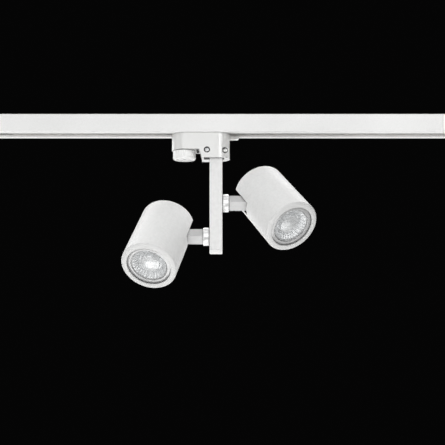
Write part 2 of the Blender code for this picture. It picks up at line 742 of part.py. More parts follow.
def build_arm(name, arm):
    """Everything that swivels with one arm: +X runs from the stem's centre to the head's pin."""
    bore = AXLE_R + GAP
    about_x = {"parent": arm, "rotation": (0, 90, 0)}
    turned(
        f"{name}_friction_washer",
        [(bore, WASHER_END), (WASHER_R, WASHER_END), (WASHER_R, WASHER_START), (bore, WASHER_START)],
        closed=True, steps=28, spec=GREY_PLASTIC, **about_x,
    )
    recess = COLLAR_START + 0.0008
    turned(
        f"{name}_swivel_collar",
        [(bore, COLLAR_END), (COLLAR_R - COLLAR_EDGE, COLLAR_END), (COLLAR_R, COLLAR_END - COLLAR_EDGE),
         (COLLAR_R, COLLAR_START + 0.0005), (COLLAR_R - 0.0005, COLLAR_START),
         (COLLAR_RECESS_R, COLLAR_START), (COLLAR_RECESS_R, recess), (bore, recess)],
        closed=True, steps=28, spec=WHITE_PAINT, **about_x,
    )
    turned(
        f"{name}_swivel_axle",
        [(AXLE_BORE_R, AXLE_END), (AXLE_R, AXLE_END), (AXLE_R, AXLE_START), (AXLE_BORE_R, AXLE_START)],
        closed=True, steps=20, spec=STEEL, **about_x,
    )
    nut = prism(
        f"{name}_swivel_nut", hexagon(SWIVEL_NUT), SWIVEL_NUT_THICKNESS, spec=STEEL, parent=arm,
        location=(SWIVEL_NUT_X, 0, 0), rotation=ALONG_X,
    )
    cut(nut, cylinder(
        f"{name}_nut_hole", bore, THROUGH, sides=20, location=(SWIVEL_NUT_X, 0, 0), **about_x,
    ))

    half = ARM_SIDE / 2
    outline = arc(PIN_REACH, 0, half - GAP, -90, 90, 12)
    outline += [(COLLAR_END + GAP, half), (COLLAR_END + GAP, -half)]
    bar = prism(f"{name}_arm", outline, ARM_SIDE, spec=WHITE_PAINT, parent=arm, rotation=FACING_Y)
    bevel(bar, ARM_EDGE, 2)
    cut(
        bar,
        cylinder(
            f"{name}_arm_pin_hole", PIN_R + GAP, 2 * ARM_SIDE, sides=16, parent=arm,
            location=(PIN_REACH, 0, 0), rotation=FACING_Y,
        ),
        cylinder(f"{name}_arm_bore", bore, 0.02, sides=20, location=(COLLAR_END, 0, 0), **about_x),
    )


def build_lamp(name, head):
    """A reflector lamp whose two pins twist into a ceramic holder behind it."""
    on_axis = {"parent": head, "location": (HEAD_AXIS, 0, 0)}
    body = turned(
        f"{name}_lamp_body",
        [(0, -0.0065), (0.0110, -0.0065), (0.0115, -0.0070), (0.0115, -0.0140), (0.0135, -0.0155)]
        + [(0.0135 + 0.0108 * math.sin(math.radians(a)), -0.0155 - 0.0245 * a / 90) for a in (22, 45, 68)]
        + [(0.0243, -0.0400), (LAMP_R, -0.0410), (LAMP_R, -0.0455), (0.0194, -0.0493), (0.0187, -0.0495),
           (0.0180, -0.0492), (0.0180, -0.0470), (0.0160, -0.0465), (0.0060, -0.0360), (0, -0.0360)],
        steps=32, spec=LAMP_SILVER, **on_axis,
    )
    turned(
        f"{name}_lamp_lens",
        [(0, -0.0473), (0.0176, -0.0473), (LENS_R - 0.0001, -0.0488), (0.0120, -0.0494), (0.0078, -0.0490),
         (0.0072, -0.0484), (0, -0.0488)],
        spec=LENS, **on_axis,
    )
    holder = span_box(
        f"{name}_lamp_holder", (HEAD_AXIS - 0.0069, -HOLDER_HALF, HOLDER_LOW),
        (HEAD_AXIS + 0.0074, HOLDER_HALF, HOLDER_HIGH), spec=CERAMIC, parent=head,
    )
    bevel(holder, 0.0012, 1)
    for y in (-LAMP_PIN_Y, LAMP_PIN_Y):
        join(body, turned(
            f"{name}_lamp_pin_{y:+.3f}",
            [(0, 0.0006), (0.0018, 0.0006), (0.0023, 0.0), (0.0023, -0.0014), (0.0013, -0.0018),
             (0.0013, -0.0080), (0, -0.0080)],
            steps=12, parent=head, location=(HEAD_AXIS, y, 0),
        ))
        cut(holder, cylinder(
            f"{name}_pin_socket_{y:+.3f}", 0.0028, 0.0156, sides=16, parent=head,
            location=(HEAD_AXIS, y, HOLDER_LOW),
        ))


def build_tube(name, head):
    """The head's shell, slotted for the arm, and the ring round its open face."""
    inner = HEAD_R - HEAD_WALL
    edge = 0.0015
    on_axis = {"parent": head, "location": (HEAD_AXIS, 0, 0)}
    seam = HEAD_FRONT + 0.0023
    shell = turned(
        f"{name}_head_shell",
        [(0, HEAD_REAR)] + arc(HEAD_R - edge, HEAD_REAR - edge, edge, 90, 0, 3)
        + [(HEAD_R, seam), (inner, seam), (inner, REAR_INNER), (0, REAR_INNER)],
        steps=48, spec=WHITE_PAINT, **on_axis,
    )
    slot = span_box(
        f"{name}_arm_slot", (-HEAD_R, -SLOT_HALF, SLOT_END),
        (HEAD_AXIS - 0.0082, SLOT_HALF, HEAD_REAR + THROUGH), parent=head,
    )
    rear_hole = cylinder(
        f"{name}_rear_hole", REAR_SCREW_HOLE_R, THROUGH, sides=16, parent=head,
        location=(REAR_SCREW_X, 0, HEAD_REAR),
    )
    cut(shell, slot, rear_hole)

    sleeve_top = HEAD_FRONT + 0.0080
    flange_back = seam - GAP
    lip_back = HEAD_FRONT + 0.0014
    turned(
        f"{name}_front_ring",
        [(RING_SLEEVE_R, sleeve_top), (inner - GAP, sleeve_top), (inner - GAP, flange_back),
         (HEAD_R, flange_back)]
        + arc(HEAD_R - 0.0010, HEAD_FRONT + 0.0010, 0.0010, 0, -90, 3)
        + [(OPENING_R + 0.0003, HEAD_FRONT), (OPENING_R, HEAD_FRONT + 0.0003),
           (OPENING_R, HEAD_FRONT + 0.0012), (OPENING_R + 0.0004, lip_back), (RING_SLEEVE_R, lip_back)],
        closed=True, spec=WHITE_PAINT, **on_axis,
    )


def build_brackets(name, head):
    """The plate that carries the tilt pin, the strap that carries the lamp holder, and the rear screw."""
    seat = REAR_INNER - GAP
    cheek = ARM_SIDE / 2 + 0.0004
    outer = cheek + BRACKET_PLATE
    web = ARM_CLEARANCE + BRACKET_PLATE
    bracket = prism(
        f"{name}_pin_bracket",
        [(BRACKET_EDGE, cheek), (ARM_CLEARANCE, cheek), (ARM_CLEARANCE, -cheek), (BRACKET_EDGE, -cheek),
         (BRACKET_EDGE, -outer), (web, -outer), (web, outer), (BRACKET_EDGE, outer)],
        seat - BRACKET_LOW, spec=STEEL, parent=head, location=(0, 0, (seat + BRACKET_LOW) / 2),
    )
    foot = span_box(
        f"{name}_bracket_foot", (ARM_CLEARANCE + GAP, -BRACKET_FOOT_HALF, seat - FOOT_THICKNESS),
        (REAR_SCREW_X + 0.0045, BRACKET_FOOT_HALF, seat), parent=head,
    )
    join(bracket, foot)
    cut(
        bracket,
        cylinder(f"{name}_bracket_pin_hole", PIN_R + GAP, 0.04, sides=16, parent=head, rotation=FACING_Y),
        cylinder(
            f"{name}_foot_hole", SCREW_R + GAP, THROUGH, sides=16, parent=head,
            location=(REAR_SCREW_X, 0, seat),
        ),
    )
    turned(
        f"{name}_rear_screw", screw_profile(0.0026, SCREW_R, 0.0058), steps=14, spec=STEEL, parent=head,
        location=(REAR_SCREW_X, 0, HEAD_REAR + GAP),
    )
    foot_y, leg_y, inner_y = 0.0200, 0.0152, 0.0140
    strap_low, foot_low = HOLDER_HIGH + GAP, seat - HOLDER_PLATE
    strap_high = strap_low + HOLDER_PLATE
    prism(
        f"{name}_holder_bracket",
        [(-foot_y, foot_low), (-leg_y, foot_low), (-leg_y, strap_low), (leg_y, strap_low), (leg_y, foot_low),
         (foot_y, foot_low), (foot_y, seat), (inner_y, seat), (inner_y, strap_high), (-inner_y, strap_high),
         (-inner_y, seat), (-foot_y, seat)],
        0.0100, spec=STEEL, parent=head, location=(HEAD_AXIS, 0, 0), rotation=ALONG_X,
    )

    ear_face = outer + GAP
    turned(
        f"{name}_tilt_pin",
        [(0, ear_face + 0.0024), (TILT_HEAD_R, ear_face + 0.0024), (TILT_HEAD_R, ear_face), (PIN_R, ear_face),
         (PIN_R, -ear_face - 0.0032), (0, -ear_face - 0.0032)],
        steps=16, spec=STEEL, parent=head, rotation=FACING_Y,
    )
    nut_y = ear_face + TILT_NUT_THICKNESS / 2
    nut = prism(
        f"{name}_tilt_nut", hexagon(TILT_NUT), TILT_NUT_THICKNESS, spec=STEEL, parent=head,
        location=(0, nut_y, 0), rotation=FACING_Y,
    )
    cut(nut, cylinder(
        f"{name}_tilt_nut_hole", PIN_R + GAP, THROUGH, sides=16, parent=head, location=(0, nut_y, 0),
        rotation=FACING_Y,
    ))


def build_head(name, head):
    """One lamp head about its tilt pin: +Z towards its rear end, the tube's axis at +X."""
    build_tube(name, head)
    build_lamp(name, head)
    build_brackets(name, head)


def main():
    clear_scene()
    track = empty("track")
    build_rail(track)
    build_end_cap(track)
    build_end_feed(track)

    adapter = empty("adapter", track, (STEM_X, 0, 0))
    knob_axis = empty("knob_axis", adapter, (KNOB_X, 0, 0))
    tab = empty("tab_slide", adapter)
    build_adapter(adapter, knob_axis, tab)
    build_stem(adapter)

    for name, pose in HEADS.items():
        roll = -pose["side"] * pose["roll"]
        turn = 0 if pose["side"] > 0 else 180
        arm = empty(f"{name}_arm_axis", adapter, (0, 0, pose["z"]), (roll, 0, turn))
        head = empty(f"{name}_tilt_axis", arm, (PIN_REACH, 0, 0), (0, -pose["tilt"], 0))
        build_arm(name, arm)
        build_head(name, head)


PARTS = collection(COLLECTION)
CUTTERS = collection("cutters")
main()
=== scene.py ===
"""Looks for a twin-head track light: a white rail, a plug-in adapter, a flat stem and two spot heads.

Metres, +X along the rail, -Y towards the camera, +Z up; the origin is the centre of the rail's top face.
"""

import json
import math

import bmesh
import bpy
from mathutils import Matrix, Vector


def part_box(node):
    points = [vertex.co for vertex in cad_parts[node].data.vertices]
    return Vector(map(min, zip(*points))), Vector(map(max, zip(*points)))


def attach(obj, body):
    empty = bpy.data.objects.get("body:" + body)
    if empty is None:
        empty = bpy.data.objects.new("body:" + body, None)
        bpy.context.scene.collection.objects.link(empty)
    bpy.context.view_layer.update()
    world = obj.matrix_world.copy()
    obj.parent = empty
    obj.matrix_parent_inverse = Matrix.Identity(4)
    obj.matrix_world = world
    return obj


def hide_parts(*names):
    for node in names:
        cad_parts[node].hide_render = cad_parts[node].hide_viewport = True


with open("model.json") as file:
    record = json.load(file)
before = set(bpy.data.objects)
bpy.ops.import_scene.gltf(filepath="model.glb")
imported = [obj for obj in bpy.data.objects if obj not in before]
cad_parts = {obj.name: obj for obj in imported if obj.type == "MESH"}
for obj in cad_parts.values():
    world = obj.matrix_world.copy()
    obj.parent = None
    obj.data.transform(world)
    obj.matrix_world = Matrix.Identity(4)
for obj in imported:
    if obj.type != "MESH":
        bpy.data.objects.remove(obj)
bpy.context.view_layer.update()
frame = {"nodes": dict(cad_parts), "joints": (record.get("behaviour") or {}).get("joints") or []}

MM = 0.001
JOINTS = {joint["name"]: joint for joint in frame["joints"]}


# ---------------------------------------------------------------- materials

NOISE_LOW, NOISE_HIGH = 0.3, 0.7  # the part of a noise value that is spread over a range
COAT_ROUGHNESS = 0.12
GRAIN_DEPTH, LENS_GRAIN_DEPTH = 0.06 * MM, 0.04 * MM


def node_material(name):
    """A new material, its nodes and links, and its shader."""
    made = bpy.data.materials.new(name)
    made.use_nodes = True
    nodes, links = made.node_tree.nodes, made.node_tree.links
    return made, nodes, links, nodes["Principled BSDF"]


def coordinates(nodes, links, stretch=(1, 1, 1)):
    """Object coordinates in metres, stretched along each axis."""
    source = nodes.new("ShaderNodeTexCoord")
    mapping = nodes.new("ShaderNodeMapping")
    mapping.inputs["Scale"].default_value = stretch
    links.new(source.outputs["Object"], mapping.inputs["Vector"])
    return mapping.outputs["Vector"]


def noise(nodes, links, vector, scale, detail=3.0, roughness=0.5):
    made = nodes.new("ShaderNodeTexNoise")
    made.inputs["Scale"].default_value = scale
    made.inputs["Detail"].default_value = detail
    made.inputs["Roughness"].default_value = roughness
    links.new(vector, made.inputs["Vector"])
    return made.outputs["Fac"]


def spread(nodes, links, value, low, high):
    """A noise value mapped to low to high."""
    made = nodes.new("ShaderNodeMapRange")
    made.inputs["From Min"].default_value = NOISE_LOW
    made.inputs["From Max"].default_value = NOISE_HIGH
    made.inputs["To Min"].default_value = low
    made.inputs["To Max"].default_value = high
    links.new(value, made.inputs["Value"])
    return made.outputs["Result"]


def ramp(nodes, links, value, dark, light):
    """A noise value mapped to a colour from dark to light."""
    made = nodes.new("ShaderNodeValToRGB")
    made.color_ramp.elements[0].position = NOISE_LOW
    made.color_ramp.elements[0].color = (*dark, 1)
    made.color_ramp.elements[1].position = NOISE_HIGH
    made.color_ramp.elements[1].color = (*light, 1)
    links.new(value, made.inputs["Fac"])
    return made.outputs["Color"]


def bumped(nodes, links, shader, height, strength, distance):
    made = nodes.new("ShaderNodeBump")
    made.inputs["Strength"].default_value = strength
    made.inputs["Distance"].default_value = distance
    links.new(height, made.inputs["Height"])
    links.new(made.outputs["Normal"], shader.inputs["Normal"])


def surface(
    name, dark, light, rough, grain, bump,
    stretch=(1, 1, 1), metallic=0.0, blotch=35, coat=0.0, gloss=0.5,
):
    """Paint, plastic or metal: a soft colour variation, an uneven gloss and a fine grain in the surface.

    grain and blotch are the scales of the two noises, and stretch draws the grain out along an axis.
    """
    made, nodes, links, shader = node_material(name)
    plain = coordinates(nodes, links)
    vector = coordinates(nodes, links, stretch)
    cloud = noise(nodes, links, plain, blotch)
    fine = noise(nodes, links, vector, grain, 2.0, 0.6)
    links.new(ramp(nodes, links, cloud, dark, light), shader.inputs["Base Color"])
    links.new(spread(nodes, links, fine, *rough), shader.inputs["Roughness"])
    shader.inputs["Metallic"].default_value = metallic
    shader.inputs["Specular IOR Level"].default_value = gloss
    shader.inputs["Coat Weight"].default_value = coat
    shader.inputs["Coat Roughness"].default_value = COAT_ROUGHNESS
    bumped(nodes, links, shader, fine, bump, GRAIN_DEPTH)
    return made


POWDER = surface("powder_coat", (0.75, 0.75, 0.745), (0.82, 0.82, 0.815), (0.44, 0.54), 900, 0.50, blotch=420)
STEM_PAINT = surface(
    "stem_enamel", (0.77, 0.77, 0.765), (0.83, 0.83, 0.825), (0.30, 0.40), 1000, 0.30, blotch=300,
)
RAIL_PAINT = surface(
    "rail_enamel", (0.75, 0.75, 0.745), (0.85, 0.85, 0.845), (0.24, 0.32), 1100, 0.18, blotch=9, coat=0.6,
)
MOULDED = surface(
    "moulded_white", (0.72, 0.72, 0.71), (0.77, 0.77, 0.76), (0.18, 0.26), 2300, 0.14, coat=0.8, gloss=0.8,
)
# Painted shade: the head's white made darker for the face ring, which faces down, to stand in for the shade
# on it.
SHADED_FACE_WHITE = surface("face_white_painted_shade", (0.69, 0.69, 0.685), (0.74, 0.74, 0.735), (0.34, 0.44), 1500, 0.24)
# A lighter white than the housing's: the knob's own plastic, and painted light on the release tab and the
# stem cap, brightened to lift them out of the shade they get.
PAINTED_LIGHT_WHITE = surface("white_knob_and_painted_light", (0.89, 0.89, 0.88), (0.94, 0.94, 0.93), (0.26, 0.36), 2000, 0.16)
CAST = surface(
    "cast_satin", (0.52, 0.52, 0.52), (0.58, 0.58, 0.58), (0.20, 0.28), 1200, 0.20, coat=0.7, gloss=0.8,
)
SATIN = surface(
    "collar_satin", (0.86, 0.86, 0.86), (0.93, 0.93, 0.93), (0.22, 0.28), 1000, 0.12, metallic=0.45,
)
# Painted shade: a dark grey put on the inner walls of the housing and the head tubes in place of their white,
# to stand in for the shade inside them.
SHADE = surface("painted_shade_inside", (0.17, 0.17, 0.17), (0.23, 0.23, 0.23), (0.50, 0.65), 900, 0.30)
GREY = surface("moulded_grey", (0.30, 0.31, 0.32), (0.36, 0.37, 0.38), (0.42, 0.55), 1800, 0.25)
INSULATOR = surface("insulator_white", (0.84, 0.84, 0.83), (0.90, 0.90, 0.89), (0.45, 0.58), 1400, 0.2)
COPPER = surface(
    "drawn_copper", (0.62, 0.30, 0.16), (0.80, 0.44, 0.27), (0.22, 0.40), 900, 0.25,
    stretch=(0.02, 1, 1), metallic=1.0, blotch=60,
)
BRASS = surface(
    "spring_brass", (0.62, 0.46, 0.20), (0.78, 0.62, 0.33), (0.22, 0.38), 900, 0.2,
    stretch=(0.05, 1, 1), metallic=1.0, blotch=60,
)
ZINC = surface(
    "zinc_steel", (0.50, 0.51, 0.53), (0.66, 0.66, 0.64), (0.24, 0.42), 700, 0.3,
    stretch=(1, 1, 0.15), metallic=1.0, blotch=120,
)
CERAMIC = surface("fired_ceramic", (0.74, 0.71, 0.65), (0.82, 0.80, 0.76), (0.50, 0.65), 2600, 0.45)
SHEATH = surface("wire_sheath", (0.70, 0.70, 0.68), (0.78, 0.78, 0.76), (0.40, 0.50), 1200, 0.2)
RIM = surface(
    "lamp_rim_gloss", (0.54, 0.54, 0.54), (0.62, 0.62, 0.62), (0.10, 0.17), 900, 0.06,
    metallic=0.25, coat=0.6,
)
OPTIC = surface(
    "reflector_silver", (0.78, 0.79, 0.80), (0.92, 0.93, 0.94), (0.20, 0.30), 1300, 0.10, metallic=0.60,
)
# Painted reflection: a darker copy of the reflector's silver, put on streaks and patches of its facets to
# stand in for dark reflections.
OPTIC_PAINTED_DARK = surface(
    "reflector_painted_dark_reflection", (0.54, 0.55, 0.56), (0.68, 0.69, 0.70), (0.10, 0.20), 1300, 0.10, metallic=0.60,
)


def lens_material():
    """Clear plastic that shows the reflector behind it and still takes the light's reflections."""
    made, nodes, links, shader = node_material("lens_clear")
    vector = coordinates(nodes, links)
    fine = noise(nodes, links, vector, 700, 2.0)
    shader.inputs["Base Color"].default_value = (0.80, 0.81, 0.81, 1)
    shader.inputs["Alpha"].default_value = 0.18
    shader.inputs["IOR"].default_value = 1.50
    links.new(spread(nodes, links, fine, 0.03, 0.07), shader.inputs["Roughness"])
    bumped(nodes, links, shader, fine, 0.05, LENS_GRAIN_DEPTH)
    return made


LENS = lens_material()


# ---------------------------------------------------------------- mesh tools

CAD_EDGE_ANGLE = 32  # degrees between two faces, above which a CAD node's edge stays sharp


def piece(
    name, bm, material, body, replaces=(), matrix=None, bevel=0.0, segments=2, angle=35,
    where=None, second=None,
):
    """A finished piece from a bmesh in its own axes, placed by matrix and riding on a body.

    The faces whose middles where() picks, such as inner walls, get the second material.
    """
    if where:
        for face in bm.faces:
            face.material_index = int(where(face.calc_center_median()))
    mesh = bpy.data.meshes.new(name)
    bmesh.ops.recalc_face_normals(bm, faces=bm.faces)
    bm.to_mesh(mesh)
    bm.free()
    made = bpy.data.objects.new(name, mesh)
    bpy.context.scene.collection.objects.link(made)
    made.data.materials.append(material)
    if where:
        made.data.materials.append(second)
    if matrix is not None:
        made.data.transform(matrix)
    mesh.shade_smooth()
    mesh.set_sharp_from_angle(angle=math.radians(angle))
    if bevel:
        rounding = made.modifiers.new("rounding", "BEVEL")
        rounding.width = bevel
        rounding.segments = segments
        rounding.limit_method = "ANGLE"
        rounding.angle_limit = math.radians(angle)
        rounding.harden_normals = True
    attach(made, body)
    if replaces:
        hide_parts(*replaces)
    return made


def lathe(profile, steps=128, closed=False, ripple=None):
    """A (radius, height) profile turned about Z. ripple changes a radius by profile index and angle."""
    bm = bmesh.new()
    rings = []
    for index, (radius, height) in enumerate(profile):
        if radius <= 0:
            rings.append([bm.verts.new((0, 0, height))])
            continue
        ring = []
        for step in range(steps):
            turn = 2 * math.pi * step / steps
            r = radius + (ripple(index, turn) if ripple else 0)
            ring.append(bm.verts.new((r * math.cos(turn), r * math.sin(turn), height)))
        rings.append(ring)
    pairs = list(zip(rings, rings[1:]))
    if closed:
        pairs.append((rings[-1], rings[0]))
    for a, b in pairs:
        for step in range(steps):
            nxt = (step + 1) % steps
            corners = [a[step % len(a)], a[nxt % len(a)], b[nxt % len(b)], b[step % len(b)]]
            unique = list(dict.fromkeys(corners))
            if len(unique) > 2:
                bm.faces.new(unique)
    return bm


def rod(radius, start, end, steps=32):
    """A plain round rod along Z, as the body of a hole, a boss or a shank."""
    return lathe([(0, start), (radius, start), (radius, end), (0, end)], steps)


def in_mm(points, base=0.0):
    """Outline points given in millimetres, the second measure counted from a base in metres."""
    return [(x * MM, base + y * MM) for x, y in points]


def arc(cx, cy, radius, start, end, count):
    """Points from start to end degrees of a circle, in count equal steps."""
    angles = [math.radians(start + (end - start) * i / count) for i in range(count + 1)]
    return [(cx + radius * math.cos(a), cy + radius * math.sin(a)) for a in angles]


def prism(outline, low, high, cuts=1):
    """A closed outline in XY extruded from low to high along Z, in equal lengths."""
    bm = bmesh.new()
    levels = [low + (high - low) * i / cuts for i in range(cuts + 1)]
    rings = [[bm.verts.new((x, y, z)) for x, y in outline] for z in levels]
    for a, b in zip(rings, rings[1:]):
        for i in range(len(outline)):
            j = (i + 1) % len(outline)
            bm.faces.new((a[i], a[j], b[j], b[i]))
    bm.faces.new(rings[0][::-1])
    bm.faces.new(rings[-1])
    return bm


def block(low, high):
    """A plain box between two corners."""
    bm = bmesh.new()
    bmesh.ops.create_cube(bm, size=1.0)
    size = [b - a for a, b in zip(low, high)]
    middle = [(a + b) / 2 for a, b in zip(low, high)]
    bmesh.ops.scale(bm, vec=Vector(size), verts=bm.verts)
    bmesh.ops.translate(bm, vec=Vector(middle), verts=bm.verts)
    return bm


def shape(bm, matrix=None):
    """A throwaway object for a Boolean."""
    mesh = bpy.data.meshes.new("cutter")
    bmesh.ops.recalc_face_normals(bm, faces=bm.faces)
    bm.to_mesh(mesh)
    bm.free()
    if matrix is not None:
        mesh.transform(matrix)
    made = bpy.data.objects.new("cutter", mesh)
    bpy.context.scene.collection.objects.link(made)
    return made


def combined(bm, operation, *others):
    """bm after a Boolean with each of the others, which are bmeshes in the same axes."""
    base = shape(bm)
    made = [shape(other) for other in others]
    for other in made:
        modifier = base.modifiers.new("boolean", "BOOLEAN")
        modifier.operation = operation
        modifier.solver = "EXACT"
        modifier.object = other
    graph = bpy.context.evaluated_depsgraph_get()
    mesh = bpy.data.meshes.new_from_object(base.evaluated_get(graph))
    result = bmesh.new()
    result.from_mesh(mesh)
    for obj in (base, *made):
        bpy.data.objects.remove(obj, do_unlink=True)
    return result


def cut(bm, *others):
    return combined(bm, "DIFFERENCE", *others)


def join(bm, *others):
    return combined(bm, "UNION", *others)


def moved(bm, matrix):
    bmesh.ops.transform(bm, matrix=matrix, verts=bm.verts)
    return bm


def turn(axis, degrees):
    return Matrix.Rotation(math.radians(degrees), 4, axis)


def shift(x, y, z):
    return Matrix.Translation((x, y, z))


def refined(node, material, body, bevel=0.25 * MM, segments=2):
    """A CAD node's shape with its flat faces made whole and its edges rounded."""
    bm = bmesh.new()
    bm.from_mesh(frame["nodes"][node].data)
    bmesh.ops.remove_doubles(bm, verts=bm.verts, dist=0.004 * MM)
    flat = math.radians(0.6)
    bmesh.ops.dissolve_limit(bm, angle_limit=flat, verts=bm.verts, edges=bm.edges)
    return piece(
        node + "_fine", bm, material, body, (node,),
        bevel=bevel, segments=segments, angle=CAD_EDGE_ANGLE,
    )


def give(material, *nodes):
    """Carries CAD nodes over with a finished material."""
    for node in nodes:
        mesh = frame["nodes"][node].data
        mesh.materials.clear()
        mesh.materials.append(material)
        mesh.shade_smooth()
        mesh.set_sharp_from_angle(angle=math.radians(CAD_EDGE_ANGLE))


def cross_screw_head(radius, height):
    """A domed screw head standing on z = 0 with a cross recess."""
    dome = [(0, height)] + [
        (radius * math.sin(math.radians(a)), height * (0.35 + 0.65 * math.cos(math.radians(a))))
        for a in (20, 40, 60, 75, 86)
    ]
    bm = lathe(dome + [(radius, 0.0), (0, 0.0)], 48)
    length, width, floor = radius * 0.62, radius * 0.13, height * 0.30
    for degrees in (0, 90):
        recess = block((-length, -width, floor), (length, width, height * 2))
        bm = cut(bm, moved(recess, turn("Z", degrees)))
    return bm


# ---------------------------------------------------------------- rail and its fittings

RAIL_LOW, RAIL_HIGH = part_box("rail_extrusion")
RAIL_HALF = RAIL_HIGH.y
RAIL_DEPTH = RAIL_HIGH.z - RAIL_LOW.z
RAIL_WALL, RAIL_FOOT = 1.6 * MM, 2.2 * MM
RAIL_EDGE, LIP_EDGE, CORNER = 0.7 * MM, 0.35 * MM, 0.5 * MM
SLOT_HALF = 8.7 * MM
FIXING_X = 180 * MM
# An outline drawn in Y and Z and extruded along its own Z comes to run along X.
ALONG_X = Matrix(((0, 0, 1, 0), (1, 0, 0, 0), (0, 1, 0, 0), (0, 0, 0, 1)))


def rail_section():
    """Half of the C section goes round the outside, back along the inside, and is mirrored."""
    side, floor = RAIL_HALF - RAIL_WALL, RAIL_FOOT - RAIL_DEPTH
    outer = arc(RAIL_HALF - RAIL_EDGE, -RAIL_EDGE, RAIL_EDGE, 90, 0, 5)
    outer += arc(RAIL_HALF - RAIL_EDGE, -RAIL_DEPTH + RAIL_EDGE, RAIL_EDGE, 0, -90, 5)
    lip = arc(SLOT_HALF + LIP_EDGE, -RAIL_DEPTH + LIP_EDGE, LIP_EDGE, -90, -180, 3)
    lip += arc(SLOT_HALF + LIP_EDGE, floor - LIP_EDGE, LIP_EDGE, 180, 90, 3)
    inner = arc(side - CORNER, floor + CORNER, CORNER, -90, 0, 3)
    inner += arc(side - CORNER, -RAIL_WALL - CORNER, CORNER, 0, 90, 3)
    half = outer + lip + inner
    return half + [(-y, z) for y, z in reversed(half)]


def make_rail():
    """The open-bottomed rail with its two countersunk fixing holes, and the conductors in it."""
    bm = moved(prism(rail_section(), RAIL_LOW.x, RAIL_HIGH.x, 24), ALONG_X)
    for x in (-FIXING_X, FIXING_X):
        hole = rod(2.25 * MM, 1 * MM, -4 * MM, 48)
        sink = lathe(in_mm([(0, 1.0), (0.3, 1.0), (2.3, -1.2), (3.7, -2.0), (0, -2.0)]), 48)
        for tool in (hole, sink):
            bm = cut(bm, moved(tool, shift(x, 0, 0)))
    piece("rail_section", bm, RAIL_PAINT, "track", ("rail_extrusion",), angle=30)
    give(INSULATOR, "front_insulator_strip", "rear_insulator_strip")
    give(COPPER, "front_copper_conductor", "rear_copper_conductor")


def make_feed_cover():
    """The end feed's cover plate with five grip grooves, and the screw that holds it."""
    low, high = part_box("end_feed_cover")
    screw_low, screw_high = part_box("end_feed_cover_screw")
    x, y = (screw_low.x + screw_high.x) / 2, (screw_low.y + screw_high.y) / 2
    cover = cut(block(low, high), moved(rod(1.9 * MM, 1 * MM, -3 * MM, 48), shift(x, y, high.z)))
    margin, width, depth = 4 * MM, 1.2 * MM, 0.35 * MM
    for index in range(5):
        start = low.x + (28 + 4 * index) * MM
        groove = block(
            (start, low.y + margin, low.z - 1 * MM), (start + width, high.y - margin, low.z + depth),
        )
        cover = cut(cover, groove)
    piece("feed_cover_plate", cover, MOULDED, "track", ("end_feed_cover",), bevel=0.2 * MM)

    seat = screw_low.z + 1.0 * MM
    head = moved(cross_screw_head(2.9 * MM, 1.0 * MM), turn("X", 180))
    shank = rod(1.4 * MM, screw_high.z, seat - 0.2 * MM)
    screw = join(moved(head, shift(x, y, seat)), moved(shank, shift(x, y, 0)))
    piece("feed_cover_screw", screw, ZINC, "track", ("end_feed_cover_screw",))


def make_rail_ends():
    refined("dead_end_cap", MOULDED, "track", bevel=0.5 * MM, segments=3)
    refined("end_feed_housing", MOULDED, "track", bevel=0.4 * MM, segments=3)
    refined("feed_terminal_block", GREY, "track", bevel=0.25 * MM)
    refined("cable_inlet_bush", GREY, "track", bevel=0.3 * MM, segments=3)
    make_feed_cover()


# ---------------------------------------------------------------- adapter

STEM_LOW, STEM_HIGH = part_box("stem_tube")
STEM_X = (STEM_LOW.x + STEM_HIGH.x) / 2
SHELL_LOW, SHELL_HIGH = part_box("front_housing_shell")
HOUSING_RADIUS = -SHELL_LOW.y
HOUSING_MIDDLE = (SHELL_LOW.x + SHELL_HIGH.x) / 2
HOUSING_HALF = (SHELL_HIGH.x - SHELL_LOW.x) / 2
KNOB_LOW, KNOB_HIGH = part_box("lock_knob")
KNOB_X = (KNOB_LOW.x + KNOB_HIGH.x) / 2
STEP_Z = KNOB_HIGH.z + 0.4 * MM
BOX_LEFT = STEM_X - 16.3 * MM
INSERT_LOW, INSERT_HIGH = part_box("earth_insert")
TAB_LOW, TAB_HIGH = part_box("release_tab")
LEFT_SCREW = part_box("left_shell_screw")
RIGHT_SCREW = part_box("right_shell_screw")
SCREW_X = [(low.x + high.x) / 2 for low, high in (LEFT_SCREW, RIGHT_SCREW)]
SCREW_Z = (LEFT_SCREW[0].z + LEFT_SCREW[1].z) / 2
SHELL_WALL, MOUTH_WALL = 1.8 * MM, 1.2 * MM
RAIL_GAP, FIT_GAP, SEAM_HALF = 0.1 * MM, 0.3 * MM, 0.12 * MM
BEYOND = 100 * MM  # past every side of the housing
# An outline drawn in X and Z and extruded along its own Z comes to run from rear to front.
FROM_FRONT = Matrix(((1, 0, 0, 0), (0, 0, -1, 0), (0, 1, 0, 0), (0, 0, 0, 1)))


def stadium(length, width, count=40):
    half, radius = (length - width) / 2, width / 2
    return arc(half, 0, radius, -90, 90, count) + arc(-half, 0, radius, 90, 270, count)


def side_profile(inset):
    """The housing from the front: a shallow body, then a deeper box whose left wall slants."""
    left, right = SHELL_LOW.x + inset, SHELL_HIGH.x - inset
    top, step, bottom = RAIL_LOW.z - RAIL_GAP - inset, STEP_Z + inset, SHELL_LOW.z + inset
    edge, corner, slant = BOX_LEFT + inset, 1.2 * MM, 2.0 * MM
    return (
        [(right, top), (left, top), (left, step)]
        + arc(edge - corner, step - corner, corner, 90, 12, 5)
        + [(edge + slant, bottom), (right, bottom)]
    )


def side_solid(inset):
    return moved(prism(side_profile(inset), -30 * MM, 30 * MM), FROM_FRONT)


def plan_solid(inset):
    outline = stadium(2 * (HOUSING_HALF - inset), 2 * (HOUSING_RADIUS - inset))
    return moved(prism(outline, -70 * MM, 0.0), shift(HOUSING_MIDDLE, 0, 0))


def past_straight(x):
    """How far x is into the round ends of the housing's plan."""
    return max(0.0, abs(x - HOUSING_MIDDLE) - (HOUSING_HALF - HOUSING_RADIUS))


def housing_depth(x):
    return math.sqrt(HOUSING_RADIUS ** 2 - past_straight(x) ** 2)


